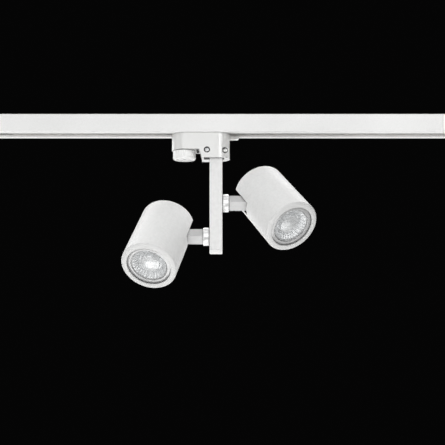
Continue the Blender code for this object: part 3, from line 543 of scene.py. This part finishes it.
def in_cavity(point):
    """Whether a face of the housing belongs to its inner walls, which are painted dark as shade."""
    in_plan = math.hypot(past_straight(point.x), point.y) < HOUSING_RADIUS - 0.9 * MM
    in_height = SHELL_LOW.z + 0.6 * MM < point.z < SHELL_HIGH.z - 0.6 * MM
    over_knob = point.x < BOX_LEFT - 0.2 * MM and point.z < STEP_Z + 0.6 * MM
    return in_plan and in_height and not over_knob


def common_openings():
    """What both halves make room for: stem, rotor, knob shaft, insert, and a slot beside the knob."""
    gap = FIT_GAP
    return [
        block(
            (STEM_LOW.x - gap, STEM_LOW.y - gap, -60 * MM),
            (STEM_HIGH.x + gap, STEM_HIGH.y + gap, STEM_HIGH.z + gap),
        ),
        moved(rod(6.7 * MM, 10 * MM, -10 * MM, 48), shift(KNOB_X, 0, SHELL_HIGH.z)),
        moved(rod(5.2 * MM, 5 * MM, -5 * MM, 48), shift(KNOB_X, 0, STEP_Z)),
        block(
            (INSERT_LOW.x - gap, INSERT_LOW.y - gap, SHELL_HIGH.z - 3 * MM),
            (INSERT_HIGH.x + gap, INSERT_HIGH.y + gap, 0),
        ),
        block(
            (KNOB_HIGH.x + 0.5 * MM, -12.6 * MM, STEP_Z - 1 * MM),
            (STEM_X - 17.2 * MM, 12.6 * MM, STEP_Z + 2.4 * MM),
        ),
    ]


def mouth():
    """The front half's opening round the stem, open to below."""
    opening = block(
        (STEM_X - 12.2 * MM, SHELL_LOW.y, -60 * MM), (STEM_X + 8.0 * MM, 2 * MM, SHELL_LOW.z + 3 * MM),
    )
    return combined(opening, "INTERSECT", plan_solid(MOUTH_WALL))


def tab_slot():
    """The rear half's slot that the release tab slides in."""
    return block(
        (INSERT_HIGH.x, TAB_LOW.y - 0.4 * MM, TAB_LOW.z - 2.1 * MM),
        (STEM_X + 20 * MM, TAB_HIGH.y + 0.4 * MM, SHELL_HIGH.z + 3 * MM),
    )


def make_shell(node, name, side):
    """One half of the hollow housing: side -1 is the front, with screw recesses and mouth, 1 the rear."""
    hollow = combined(side_solid(SHELL_WALL), "INTERSECT", plan_solid(SHELL_WALL))
    bm = cut(combined(side_solid(0), "INTERSECT", plan_solid(0)), hollow)
    tools = []
    for x in SCREW_X:
        depth = housing_depth(x)
        boss = rod(3.8 * MM, 0, depth - 1 * MM, 40)
        bm = join(bm, moved(boss, shift(x, 0, SCREW_Z) @ turn("X", -90 * side)))
        place = shift(x, -depth, SCREW_Z) @ turn("X", 90)
        if side < 0:
            recess = lathe(in_mm([(0, 4), (3.25, 4), (3.05, -2.2), (0, -2.2)]), 56)
            tools.append(moved(recess, place))
        tools.append(moved(rod(1.6 * MM, 1 * MM, -depth - 7 * MM), place))
    tools += common_openings()
    if side < 0:
        tools.append(mouth())
        tools.append(block((-BEYOND, -SEAM_HALF, -BEYOND), (BEYOND, BEYOND, BEYOND)))
    else:
        tools.append(tab_slot())
        tools.append(block((-BEYOND, -BEYOND, -BEYOND), (BEYOND, SEAM_HALF, BEYOND)))
    for tool in tools:
        bm = cut(bm, tool)
    bmesh.ops.dissolve_limit(bm, angle_limit=math.radians(0.3), verts=bm.verts, edges=bm.edges)
    # The inner walls take the second material, a dark grey that paints the shade inside the housing.
    piece(
        name, bm, MOULDED, "adapter", (node,), bevel=0.30 * MM, segments=3, angle=30,
        where=in_cavity, second=SHADE,
    )


def make_shell_screws():
    for name, (low, high), degrees in (
        ("left_shell_screw", LEFT_SCREW, 20),
        ("right_shell_screw", RIGHT_SCREW, 52),
    ):
        seat = low.y + 1.2 * MM
        head = moved(cross_screw_head(2.5 * MM, 1.2 * MM), turn("Z", degrees))
        shank = rod(1.3 * MM, 0.2 * MM, seat - high.y)
        place = shift((low.x + high.x) / 2, seat, SCREW_Z) @ turn("X", 90)
        piece(name + "_head", moved(join(head, shank), place), ZINC, "adapter", (name,))


def make_knob():
    """A thumb knob: flutes on its side, a rounded lower edge and a dish with a recess for its screw."""
    radius = (KNOB_HIGH.x - KNOB_LOW.x) / 2
    top, bottom = KNOB_HIGH.z, KNOB_LOW.z
    rounding, dish, recess = 1.7 * MM, 1.4 * MM, 2.2 * MM
    profile = (
        [(1.8 * MM, top), (radius - 0.5 * MM, top), (radius - 0.12 * MM, top - 0.12 * MM)]
        + [(radius, top - 0.5 * MM), (radius, top - 0.9 * MM)]
        + [(radius, bottom + 2.4 * MM), (radius, bottom + 1.8 * MM)]
        + arc(radius - 1.9 * MM, bottom + rounding, rounding, -8, -82, 6)
        + [(radius - 2.7 * MM, bottom), (radius - 3.0 * MM, bottom + dish), (2.9 * MM, bottom + dish)]
        + [(2.9 * MM, bottom + recess), (1.8 * MM, bottom + recess)]
    )
    flute_ends, flute_count, flute_depth = (4, 5), 30, 0.22 * MM

    def flutes(index, angle):
        if index not in flute_ends:
            return 0.0
        return -flute_depth * (0.5 + 0.5 * math.cos(flute_count * angle)) ** 2

    bm = lathe(profile, 240, closed=True, ripple=flutes)
    piece(
        "lock_knob_fluted", bm, PAINTED_LIGHT_WHITE, "lock", ("lock_knob",), shift(KNOB_X, 0, 0),
        angle=40,
    )

    low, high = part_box("knob_screw")
    seat = low.z + 1.2 * MM
    head = moved(cross_screw_head(2.35 * MM, 1.2 * MM), turn("X", 180))
    shank = rod(1.3 * MM, high.z - seat, -0.2 * MM)
    piece(
        "knob_screw_head", join(head, shank), ZINC, "lock", ("knob_screw",), shift(KNOB_X, 0, seat),
    )


def make_adapter():
    make_shell("front_housing_shell", "front_shell", -1)
    make_shell("rear_housing_shell", "rear_shell", 1)
    make_shell_screws()
    make_knob()
    # The release tab takes the lighter white as painted light, to lift it out of the shade under the rail.
    refined("release_tab", PAINTED_LIGHT_WHITE, "tab", bevel=0.35 * MM, segments=3)
    refined("earth_insert", GREY, "adapter", bevel=0.2 * MM)
    refined("contact_rotor", GREY, "lock", bevel=0.2 * MM)
    refined("lock_wing", GREY, "lock", bevel=0.25 * MM)
    refined("contact_carrier", GREY, "lock", bevel=0.3 * MM)
    give(BRASS, "earth_contact_spring")
    give(COPPER, "front_contact_blade", "rear_contact_blade")
    give(ZINC, "stem_cross_pin")
    give(SHEATH, "stem_wire")


# ---------------------------------------------------------------- stem and arms

STEM_EDGE = 0.9 * MM
TO_X = turn("Y", 90)
NIPPLE_HOLE_R = 4.3 * MM
COLLAR_START, COLLAR_END, COLLAR_R = 7.1 * MM, 12.8 * MM, 9.1 * MM
ARM_SIDE = 11.6 * MM


def rounded_rectangle(width, height, radius, count=6):
    x, y = width / 2 - radius, height / 2 - radius
    corners = ((x, y, 0), (-x, y, 90), (-x, -y, 180), (x, -y, 270))
    return [p for cx, cy, a in corners for p in arc(cx, cy, radius, a, a + 90, count)]


def make_stem():
    """The flat tube with its holes for the arms' nipples and the cross pin, and the plug in its end."""
    width, depth = STEM_HIGH.x - STEM_LOW.x, STEM_HIGH.y - STEM_LOW.y
    bm = prism(rounded_rectangle(width, depth, STEM_EDGE), STEM_LOW.z, STEM_HIGH.z, 12)
    bore = rounded_rectangle(width - 3 * MM, depth - 3 * MM, 0.4 * MM)
    tools = [prism(bore, STEM_LOW.z - 10 * MM, STEM_HIGH.z + 10 * MM)]
    for joint, wall in (("left_arm_swivel", -width / 2), ("right_arm_swivel", width / 2)):
        hole = rod(NIPPLE_HOLE_R, 4 * MM, -4 * MM, 48)
        tools.append(moved(hole, shift(wall, 0, JOINTS[joint]["pos_m"][2]) @ TO_X))
    pin_low, pin_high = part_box("stem_cross_pin")
    hole = rod(2.3 * MM, 20 * MM, -20 * MM)
    tools.append(moved(hole, shift(0, 0, (pin_low.z + pin_high.z) / 2) @ TO_X))
    for tool in tools:
        bm = cut(bm, tool)
    piece(
        "stem_bar", bm, STEM_PAINT, "adapter", ("stem_tube",), shift(STEM_X, 0, 0),
        bevel=0.12 * MM, angle=50,
    )

    low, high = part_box("stem_end_plug")
    flange = STEM_LOW.z - 0.1 * MM
    bm = prism(rounded_rectangle(width, depth, STEM_EDGE), low.z, flange, 2)
    plug = prism(rounded_rectangle(width - 3.8 * MM, depth - 3.8 * MM, 0.5 * MM), flange - 0.5 * MM, high.z)
    # The cap takes the lighter white as painted light, to brighten its lower edge.
    piece(
        "stem_cap", join(bm, plug), PAINTED_LIGHT_WHITE, "adapter", ("stem_end_plug",),
        shift(STEM_X, 0, 0), bevel=0.25 * MM, segments=3, angle=50,
    )


def arm_matrix(side):
    """The arm's axes in the world: +X out to the head's pin, +Y along that pin."""
    swivel, tilt = JOINTS[side + "_arm_swivel"], JOINTS[side + "_head_tilt"]
    root = Vector(swivel["pos_m"])
    out = (Vector(tilt["pos_m"]) - root).normalized()
    pin = -Vector(tilt["axis"]).normalized()
    third = out.cross(pin)
    columns = (out, pin, third, root)
    return Matrix([[c[i] for c in columns] for i in range(3)] + [[0, 0, 0, 1]])


def pin_reach(side):
    """From the middle of the stem to the pin that the head tilts on."""
    pin, root = (Vector(JOINTS[side + joint]["pos_m"]) for joint in ("_head_tilt", "_arm_swivel"))
    return (pin - root).length


def head_matrix(side):
    """The head's axes: +Z to its rear end, along the lamp, and +X from the pin to the lamp's axis."""
    tilt = -JOINTS[side + "_head_tilt"]["range_deg"][0]
    return arm_matrix(side) @ shift(pin_reach(side), 0, 0) @ turn("Y", -tilt)


def collar_profile():
    """A turned collar with a rounded outer edge, dished on the side of the stem."""
    edge, dish = 0.7 * MM, 0.8 * MM
    return (
        [(NIPPLE_HOLE_R, COLLAR_END), (COLLAR_R - edge, COLLAR_END)]
        + arc(COLLAR_R - edge, COLLAR_END - edge, edge, 70, 0, 5)
        + [(COLLAR_R, COLLAR_START + 0.5 * MM), (COLLAR_R - 0.15 * MM, COLLAR_START + 0.15 * MM)]
        + [(COLLAR_R - 0.5 * MM, COLLAR_START), (8.0 * MM, COLLAR_START), (8.0 * MM, COLLAR_START + dish)]
        + [(NIPPLE_HOLE_R, COLLAR_START + dish)]
    )


def make_arm(side):
    """The collar against the stem and the square arm with its rounded end, bored for nipple and pin."""
    place, reach, body = arm_matrix(side), pin_reach(side), side + "_arm"
    piece(
        side + "_collar", lathe(collar_profile(), 96, closed=True), SATIN, body,
        (side + "_swivel_collar",), place @ TO_X,
    )

    root, half = COLLAR_END + 0.1 * MM, ARM_SIDE / 2
    outline = arc(reach, 0, half - 0.3 * MM, -90, 90, 24) + [(root, half), (root, -half)]
    bm = moved(prism(outline, -half, half), turn("X", 90))
    pin_hole = rod(2.8 * MM, 20 * MM, -20 * MM, 40)
    bore = rod(NIPPLE_HOLE_R, 12 * MM, -12 * MM, 40)
    bm = cut(bm, moved(pin_hole, shift(reach, 0, 0) @ turn("X", 90)))
    bm = cut(bm, moved(bore, shift(COLLAR_END, 0, 0) @ TO_X))
    piece(
        side + "_arm_bar", bm, CAST, body, (side + "_arm",), place,
        bevel=0.8 * MM, segments=1, angle=40,
    )
    give(GREY, side + "_friction_washer")
    give(ZINC, side + "_swivel_axle", side + "_swivel_nut")


# ---------------------------------------------------------------- heads

HEAD_R, HEAD_WALL = 27.5 * MM, 1.2 * MM
HEAD_AXIS = 14.4 * MM
HEAD_REAR, HEAD_FRONT = 22.8 * MM, -51.3 * MM
SLOT_HALF_WIDTH, SLOT_END = 7.1 * MM, -6.0 * MM
SEAM = HEAD_FRONT + 2.15 * MM
RING_OPENING = 22.0 * MM
LAMP_FRONT = -49.5 * MM
RIM_CREST, RIM_FOOT, RIM_DROP = 18.8 * MM, 24.8 * MM, 2.3 * MM
LENS_R = 17.8 * MM
# CONE_WAVES and DISC_WAVES only set the pattern of the painted dark reflection on the reflector's facets.
CONE_FLUTES, CONE_WAVES, DISC_WAVES = 32, 19, 9
DISC_EDGE = 9.4 * MM


def in_tube(point):
    """Whether a face of the head's tube belongs to its inner walls, which are painted dark as shade."""
    beside = math.hypot(point.x - HEAD_AXIS, point.y)
    return beside < HEAD_R - 0.3 * MM and point.z < HEAD_REAR - 1.9 * MM


def rear_screw_x(side, pin_axis):
    low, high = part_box(side + "_rear_screw")
    return (pin_axis.inverted() @ ((low + high) / 2)).x


def make_head_shell(side, pin_axis):
    """The head's tube: closed and rounded at the rear, slotted for the arm, open at the front."""
    inner, edge = HEAD_R - HEAD_WALL, 2.2 * MM
    rear_inner = HEAD_REAR - 2.0 * MM
    profile = (
        [(0, HEAD_REAR)] + arc(HEAD_R - edge, HEAD_REAR - edge, edge, 90, 0, 8)
        + [(HEAD_R, HEAD_REAR - 20 * MM), (HEAD_R, HEAD_REAR - 45 * MM), (HEAD_R, SEAM)]
        + [(inner, SEAM), (inner, rear_inner), (0, rear_inner)]
    )
    slot = block((-30 * MM, -SLOT_HALF_WIDTH, SLOT_END), (HEAD_AXIS - 8.2 * MM, SLOT_HALF_WIDTH, 40 * MM))
    hole = rod(1.7 * MM, 5 * MM, -5 * MM)
    bm = cut(moved(lathe(profile, 160), shift(HEAD_AXIS, 0, 0)), slot)
    bm = cut(bm, moved(hole, shift(rear_screw_x(side, pin_axis), 0, HEAD_REAR)))
    # The inner walls take the second material, a dark grey that paints the shade inside the tube.
    piece(
        side + "_head_tube", bm, POWDER, side + "_head", (side + "_head_shell",), pin_axis,
        bevel=0.22 * MM, segments=2, angle=50, where=in_tube, second=SHADE,
    )


def make_front_ring(side, on_axis):
    """The face of the head: a flat ring with a soft outer edge, a thin inner lip and a skirt in the tube."""
    skirt_outer, skirt_inner = HEAD_R - HEAD_WALL - 0.1 * MM, 25.3 * MM
    skirt_end, face_back = HEAD_FRONT + 8 * MM, HEAD_FRONT + 1.5 * MM
    lip = 0.45 * MM
    soft, turnover = 4.2 * MM, SEAM - HEAD_FRONT - 0.1 * MM
    rounding = [
        (HEAD_R - soft + soft * math.cos(a), HEAD_FRONT + turnover * (1 - math.sin(a)))
        for a in map(math.radians, range(0, 91, 9))
    ]
    profile = (
        [(skirt_inner, skirt_end), (skirt_outer, skirt_end)]
        + [(skirt_outer, SEAM + 0.02 * MM), (HEAD_R, SEAM - 0.02 * MM)]
        + rounding
        + arc(RING_OPENING + lip, HEAD_FRONT + lip, lip, -90, -180, 4)
        + [(RING_OPENING, HEAD_FRONT + 1.2 * MM), (RING_OPENING + 0.4 * MM, face_back)]
        + [(skirt_inner, face_back)]
    )
    # The ring is painted a darker white than the tube, as painted shade on its down-facing face.
    piece(
        side + "_face_ring", lathe(profile, 160, closed=True), SHADED_FACE_WHITE, side + "_head",
        (side + "_front_ring",), on_axis,
    )


def make_lamp_housing(side, on_axis):
    """The lamp's turned body with its glossy sloping rim, and two twist-lock pins at the rear."""
    neck = in_mm([(0, -6.5), (11, -6.5), (11.5, -7.0), (11.5, -14)])
    cup = [
        (13.5 * MM + 10.8 * MM * math.sin(math.radians(a)), -15.5 * MM - 24.5 * MM * a / 90)
        for a in range(0, 90, 12)
    ]
    slope = [
        (RIM_FOOT - (RIM_FOOT - RIM_CREST) * t, LAMP_FRONT + RIM_DROP * (1 - t) ** 1.5)
        for t in (0.0, 0.2, 0.4, 0.6, 0.8, 0.93)
    ]
    bezel = [(24.4 * MM, -40.4 * MM), (RIM_FOOT, -41.0 * MM)] + slope
    bezel += arc(RIM_CREST - 0.3 * MM, LAMP_FRONT + 0.35 * MM, 0.35 * MM, -50, -170, 5)
    groove = LENS_R + 0.4 * MM
    bezel += [(groove, LAMP_FRONT + 1.0 * MM), (groove, LAMP_FRONT + 2.6 * MM)]
    bezel += [(16 * MM, LAMP_FRONT + 3.2 * MM)]
    bezel += in_mm([(6, -36), (0, -36)])
    bm = lathe(neck + cup + bezel, 144)
    for y in (-5 * MM, 5 * MM):
        pin = in_mm([(0, 0.6), (1.8, 0.6), (2.3, 0.1), (2.3, -1.4), (1.3, -1.8), (1.3, -8), (0, -8)])
        bm = join(bm, moved(lathe(pin, 32), shift(0, y, 0)))
    piece(
        side + "_lamp_housing", bm, RIM, side + "_head", (side + "_lamp_body",), on_axis,
        angle=38,
    )


def make_optic(side, on_axis):
    """The reflector behind the lens: a steep fluted cone round a domed, faceted disc, with streaks and
    patches of its facets painted darker as dark reflections.
    """
    cone = [(16.9, 1.7), (16.2, 2.1), (14.4, 3.9), (12.8, 5.8), (11.4, 7.4), (10.4, 7.6), (9.7, 3.0)]
    disc = [(r, 1.0 + 0.019 * r ** 2) for r in (9.2, 8.0, 6.8, 5.6, 4.4, 3.2, 2.0)] + [(0, 1.0)]
    rear = [(0, 9.0), (17.0, 9.0), (17.2, 2.0)]
    flute_depth = {1: 0.20 * MM, 2: 0.42 * MM, 3: 0.42 * MM, 4: 0.20 * MM}
    facet_depth, first_ring, last_ring = 0.35 * MM, 8, 12

    def facets(index, angle):
        if first_ring <= index <= last_ring:
            count = 24 - 3 * (index - first_ring)
            return facet_depth * math.cos(count * angle + math.pi * index)
        return flute_depth.get(index, 0) * math.cos(CONE_FLUTES * angle)

    def painted_dark_facet(point):
        """Picks the facets that get the painted dark reflection, in a woven pattern of their angle and place;
        it does not look at where the light is.
        """
        angle = math.atan2(point.y, point.x)
        if math.hypot(point.x, point.y) < DISC_EDGE:
            weave = math.cos(DISC_WAVES * angle) * math.cos(point.x * 1500) + math.cos(point.y * 1300)
            return weave > 0.9
        return math.cos(CONE_FLUTES * angle) + 0.8 * math.cos(CONE_WAVES * angle + 1) > 0.5

    piece(
        side + "_lamp_optic", lathe(in_mm(cone + disc + rear, LAMP_FRONT), 288, ripple=facets), OPTIC,
        side + "_head", (), on_axis, angle=30, where=painted_dark_facet, second=OPTIC_PAINTED_DARK,
    )


def make_lens(side, on_axis):
    """A clear plate with a raised, rounded edge and a shallow dome in its middle."""
    edge, seat, back = LENS_R - 0.05 * MM, LAMP_FRONT + 0.75 * MM, LAMP_FRONT + 1.3 * MM
    rounding = [
        (LENS_R * math.cos(math.radians(a)), seat - 0.85 * MM * math.sin(math.radians(a)))
        for a in (12, 24, 36, 48)
    ]
    face = in_mm([(10.2, 0.05), (9.6, 0.35), (8.8, 0.50), (6.0, 0.28), (3.0, 0.14), (0, 0.10)], LAMP_FRONT)
    profile = [(0, back), (edge, back), (edge, seat)] + rounding + face
    piece(
        side + "_lens_plate", lathe(profile, 144), LENS, side + "_head",
        (side + "_lamp_lens",), on_axis, angle=24,
    )


def make_head_fittings(side, pin_axis):
    """The holder, the brackets, the pin and its nut, and the screw in the rear end."""
    body = side + "_head"
    refined(side + "_lamp_holder", CERAMIC, body, bevel=0.3 * MM)
    refined(side + "_holder_bracket", ZINC, body, bevel=0.15 * MM)
    refined(side + "_pin_bracket", ZINC, body, bevel=0.15 * MM)
    refined(side + "_tilt_pin", ZINC, body, bevel=0.25 * MM)
    refined(side + "_tilt_nut", ZINC, body, bevel=0.2 * MM)
    screw = join(cross_screw_head(2.55 * MM, 1.2 * MM), rod(1.25 * MM, 0.2 * MM, -5.6 * MM))
    piece(
        side + "_rear_screw_head", screw, ZINC, body, (side + "_rear_screw",),
        pin_axis @ shift(rear_screw_x(side, pin_axis), 0, HEAD_REAR + 0.3 * MM),
    )


def make_head(side):
    pin_axis = head_matrix(side)
    on_axis = pin_axis @ shift(HEAD_AXIS, 0, 0)
    make_head_shell(side, pin_axis)
    make_front_ring(side, on_axis)
    make_lamp_housing(side, on_axis)
    make_optic(side, on_axis)
    make_lens(side, on_axis)
    make_head_fittings(side, pin_axis)


# ---------------------------------------------------------------- camera, light and floor

CAMERA_PLACE = (0.0, -0.850, -0.1889)
CAMERA_PITCH = 95.5  # degrees, so a little upwards from level
FOCAL_LENGTH, SENSOR_WIDTH = 68.75, 36.0
TENT_MIDDLE = (0.0, 0.0, -0.09)
FLOOR_HEIGHT, FLOOR_RADIUS = -1.6, 5.5
BACKDROP = (0.0016, 0.0016, 0.0016, 1)


def look_at(obj, target):
    direction = Vector(target) - obj.location
    obj.rotation_euler = direction.to_track_quat("-Z", "Y").to_euler()


def add_camera():
    data = bpy.data.cameras.new("camera")
    data.lens = FOCAL_LENGTH
    data.sensor_width = SENSOR_WIDTH
    camera = bpy.data.objects.new("camera", data)
    camera.location = CAMERA_PLACE
    camera.rotation_euler = (math.radians(CAMERA_PITCH), 0.0, 0.0)
    bpy.context.scene.collection.objects.link(camera)
    bpy.context.scene.camera = camera


def panel(name, location, size, brightness):
    """A light panel of a white tent, turned to the fixture and hidden from the camera itself."""
    data = bpy.data.lights.new(name, "AREA")
    data.shape = "RECTANGLE"
    data.size, data.size_y = size
    data.energy = brightness * math.pi * size[0] * size[1]
    lamp = bpy.data.objects.new(name, data)
    lamp.location = location
    lamp.visible_camera = False
    bpy.context.scene.collection.objects.link(lamp)
    look_at(lamp, TENT_MIDDLE)


def add_lights():
    """Panels in front, at both sides, above and below, and behind for the bright edges."""
    panel("front", (0.0, -1.6, 0.35), (2.4, 1.4), 1.66)
    panel("front_low", (-0.9, -1.3, -0.75), (1.0, 0.5), 3.0)
    panel("right_front", (1.03, -1.14, 0.27), (0.55, 0.45), 4.4)
    panel("left", (-1.5, -0.2, 0.1), (1.6, 1.8), 0.70)
    panel("right", (1.5, -0.2, 0.1), (1.6, 1.8), 0.25)
    panel("top", (0.0, -0.3, 1.4), (2.4, 1.6), 1.10)
    panel("bottom", (-0.1, -0.35, -1.4), (2.2, 1.0), 1.40)
    panel("rim_left", (-1.2, 1.0, 0.0), (0.8, 1.8), 2.4)
    panel("rim_right", (1.2, 1.0, 0.0), (0.8, 1.8), 1.1)
    panel("rim_top", (0.0, 1.0, 1.0), (2.4, 0.5), 4.5)
    panel("rim_bottom", (0.0, 1.0, -1.2), (2.4, 0.5), 2.5)
    panel("back", (0.0, 1.5, -0.25), (2.0, 0.9), 0.9)


def add_floor():
    """A plain pale floor, far enough below to be out of the main view."""
    mesh = bpy.data.meshes.new("floor")
    bm = bmesh.new()
    bmesh.ops.create_circle(bm, cap_ends=True, segments=96, radius=FLOOR_RADIUS)
    bmesh.ops.translate(bm, vec=Vector((0, 0, FLOOR_HEIGHT)), verts=bm.verts)
    bm.to_mesh(mesh)
    bm.free()
    floor = bpy.data.objects.new("floor", mesh)
    bpy.context.scene.collection.objects.link(floor)
    paint = surface("pale_floor", (0.74, 0.74, 0.73), (0.79, 0.79, 0.78), (0.6, 0.75), 300, 0.1)
    mesh.materials.append(paint)


def add_world():
    world = bpy.data.worlds.new("backdrop")
    world.use_nodes = True
    background = world.node_tree.nodes["Background"]
    background.inputs["Color"].default_value = BACKDROP
    background.inputs["Strength"].default_value = 1.0
    bpy.context.scene.world = world
    bpy.context.scene.view_settings.view_transform = "Standard"


add_camera()
make_rail()
make_rail_ends()
make_adapter()
make_stem()
for SIDE in ("left", "right"):
    make_arm(SIDE)
    make_head(SIDE)
add_floor()
add_world()
add_lights()
